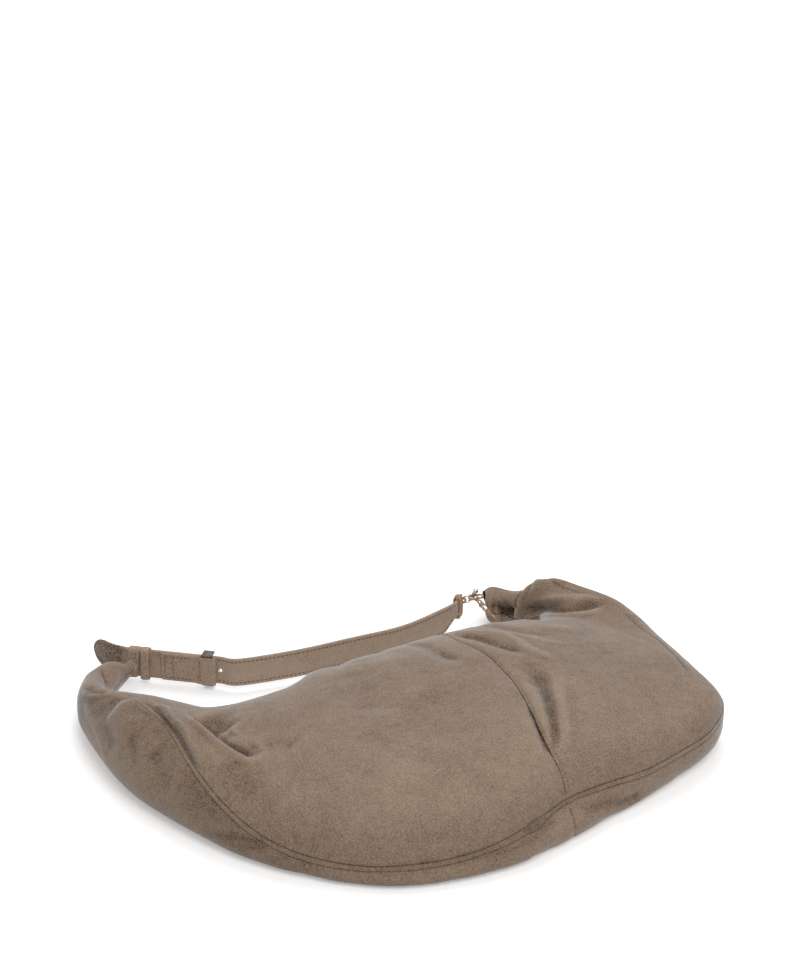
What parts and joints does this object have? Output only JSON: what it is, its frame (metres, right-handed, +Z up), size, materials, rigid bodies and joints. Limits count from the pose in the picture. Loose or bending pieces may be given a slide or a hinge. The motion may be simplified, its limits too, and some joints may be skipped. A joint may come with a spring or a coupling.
{
  "type": "pouch bag",
  "caption": "Slouchy crescent pouch bag in soft suede, lying flat, with a zipped mouth and a buckled carrying strap tied to a ring.",
  "frame": {"origin": "on the surface that the bag lies on, under its middle", "axes": "+Z up from the surface, +X along the bag to the ring end, +Y from the belly to the strap"},
  "size_m": [0.4635, 0.4325, 0.0747],
  "materials": {
    "suede": "soft taupe suede, matte nap",
    "strap_suede": "doubled taupe suede, matte, stitched edges",
    "lining": "plain woven lining",
    "zip_tape": "woven tape",
    "nickel": "polished nickel, slightly worn",
    "lace": "tan leather lace"
  },
  "bodies": {
    "pouch": {"front_panel_left": "suede", "front_panel_right": "suede", "back_panel_left": "suede", "back_panel_right": "suede", "outer_seam_strip": "suede", "lining_front": "lining", "lining_back": "lining", "slip_pocket": "lining", "zip_tape_front": "zip_tape", "zip_tape_back": "zip_tape", "zip_teeth_front": "nickel", "zip_teeth_back": "nickel", "zip_stop_left": "nickel", "zip_stop_right": "nickel", "ring_lace_loop": "lace", "lace_knot": "lace", "round_bead": "nickel"},
    "slider": {"zip_slider": "nickel", "slider_bail": "nickel"},
    "puller": {"zip_puller": "nickel", "puller_tab": "strap_suede"},
    "strap": {"strap_face": "strap_suede", "strap_backing": "strap_suede", "buckle_strap": "strap_suede", "buckle_frame": "nickel", "buckle_pin": "nickel", "neck_loop_left": "strap_suede", "neck_tab_left": "strap_suede", "strap_lace_loop": "lace", "strap_end_wrap": "lace"},
    "ring": {"join_ring": "nickel"},
    "keeper": {"keeper_loop": "strap_suede"},
    "prong": {"buckle_prong": "nickel"},
    "charm": {"charm_strand_left": "lace", "charm_strand_right": "lace", "charm_upper_knot": "lace", "barrel_bead": "nickel", "charm_end_knot": "lace", "charm_tail": "lace"}
  },
  "joints": [
    {"name": "strap_lift", "type": "hinge", "parent": "pouch", "child": "strap", "pos_m": [0.14398, 0.196, 0.022], "axis": [-0.9957, 0.0918, -0.0148], "range_deg": [0, 60]},
    {"name": "zip_slide", "type": "slide", "parent": "pouch", "child": "slider", "axis": [-1, 0, 0], "range_m": [0, 0.16]},
    {"name": "puller_swing", "type": "hinge", "parent": "slider", "child": "puller", "pos_m": [0.1202, 0.1018, 0.0215], "axis": [0, 0, -1], "range_deg": [0, 150]},
    {"name": "ring_turn", "type": "hinge", "parent": "strap", "child": "ring", "pos_m": [0.14398, 0.196, 0.022], "axis": [-0.0722, -0.863, -0.5], "continuous": true},
    {"name": "keeper_slide", "type": "slide", "parent": "strap", "child": "keeper", "axis": [0.766, -0.6428, 0], "range_m": [0, 0.034]},
    {"name": "prong_swing", "type": "hinge", "parent": "strap", "child": "prong", "pos_m": [-0.09986, 0.19611, 0.0175], "axis": [0, 0, 1], "range_deg": [0, 110]},
    {"name": "charm_swing", "type": "hinge", "parent": "pouch", "child": "charm", "pos_m": [0.15133, 0.18859, 0.02212], "axis": [0, 0, -1], "range_deg": [0, 40]}
  ]
}
